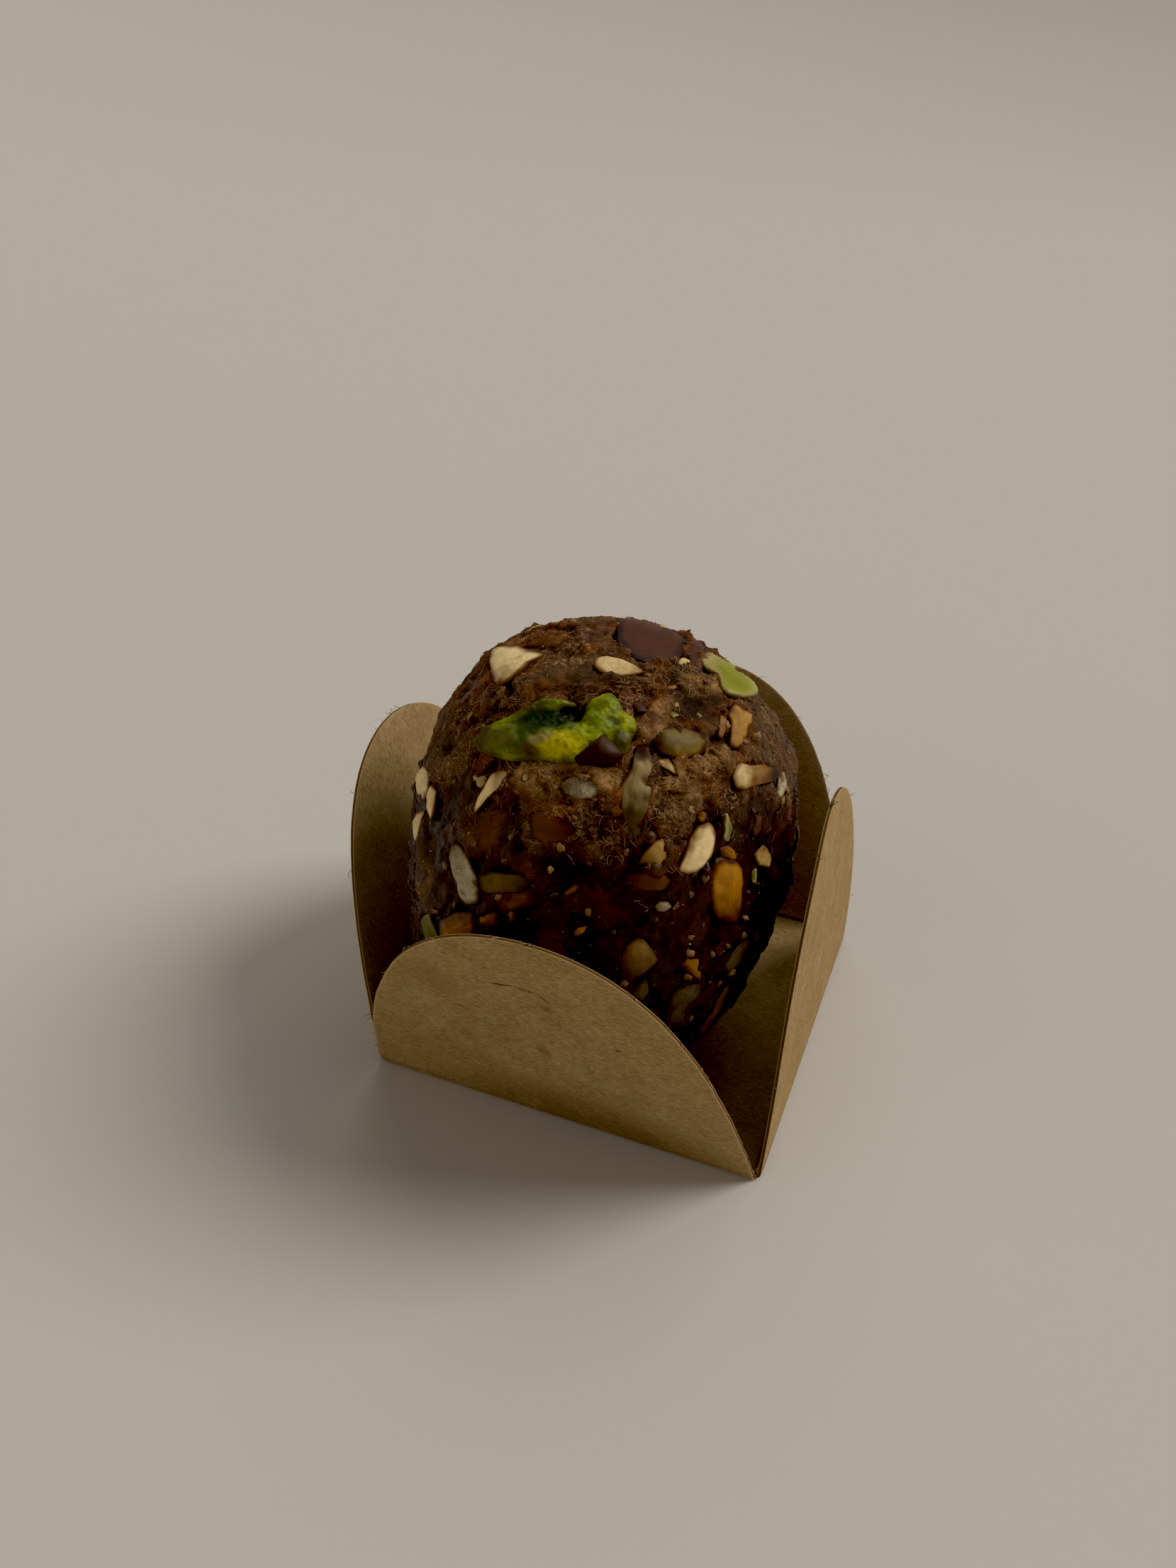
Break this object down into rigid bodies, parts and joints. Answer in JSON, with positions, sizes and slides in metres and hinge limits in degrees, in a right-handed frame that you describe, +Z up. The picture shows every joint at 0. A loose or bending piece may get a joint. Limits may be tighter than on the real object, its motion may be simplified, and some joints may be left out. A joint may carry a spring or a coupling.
{
  "type": "millet ladoo in a card case",
  "caption": "Hand-rolled ball of date paste and millet studded with chopped nuts, with a pistachio kernel near the crown, sitting in a folded kraft-card case with rounded petals.",
  "frame": {"origin": "middle of the underside of the case's square base, on the surface that it stands on", "axes": "+Z up, -Y towards the front petal, +X towards the right petal"},
  "size_m": [0.0465, 0.0528, 0.0426],
  "materials": {
    "kraft_card": "uncoated brown kraft card, matt, fine level fibres, darker at the cut edges and folds",
    "date_paste": "dark brown date paste, fibrous and dusty on top, moist and half gloss lower down",
    "pistachio": "green to yellow-green kernel flesh, half gloss",
    "pale_nut": "cream chopped cashew and almond, matt with a waxy edge",
    "roasted_nut": "amber roasted nut, half gloss and slightly see-through",
    "dried_fruit": "dark amber date skin and golden raisin, moist",
    "coconut": "pale fibrous coconut and bran flakes, matt",
    "millet": "small round pale yellow grains, matt"
  },
  "bodies": {
    "root": {"paper_case": "kraft_card", "ladoo": "date_paste", "pistachio_kernel": "pistachio"}
  },
  "joints": []
}
